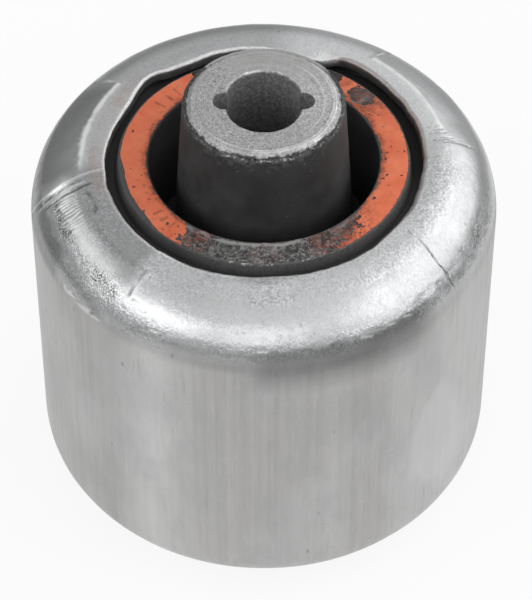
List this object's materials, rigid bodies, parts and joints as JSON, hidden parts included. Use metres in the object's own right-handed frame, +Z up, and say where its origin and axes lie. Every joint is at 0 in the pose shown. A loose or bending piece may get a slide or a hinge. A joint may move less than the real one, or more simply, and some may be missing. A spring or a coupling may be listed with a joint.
{
  "type": "axle beam bushing",
  "caption": "Rubber axle beam bushing in an aluminium shell with rolled ends, with an orange-marked collar and a metal sleeve that has a slotted bolt hole.",
  "frame": {"origin": "on the axis, in the plane of the sleeve's lower end", "axes": "+Z up along the axis, +Y along the bolt slot, -Y to the front"},
  "size_m": [0.08, 0.08, 0.083],
  "materials": {
    "shell_aluminium": "drawn, dull, brighter where the roll was worked",
    "cage_steel": "plain pressed steel",
    "body_rubber": "matt, dusty",
    "sleeve_aluminium": "grainy cast end, faint turning marks",
    "mark_paint": "matt paint, worn"
  },
  "bodies": {
    "root": {"outer_shell": "shell_aluminium", "cage": "cage_steel", "rubber_body": "body_rubber", "inner_sleeve": "sleeve_aluminium", "colour_mark": "mark_paint"}
  },
  "joints": []
}
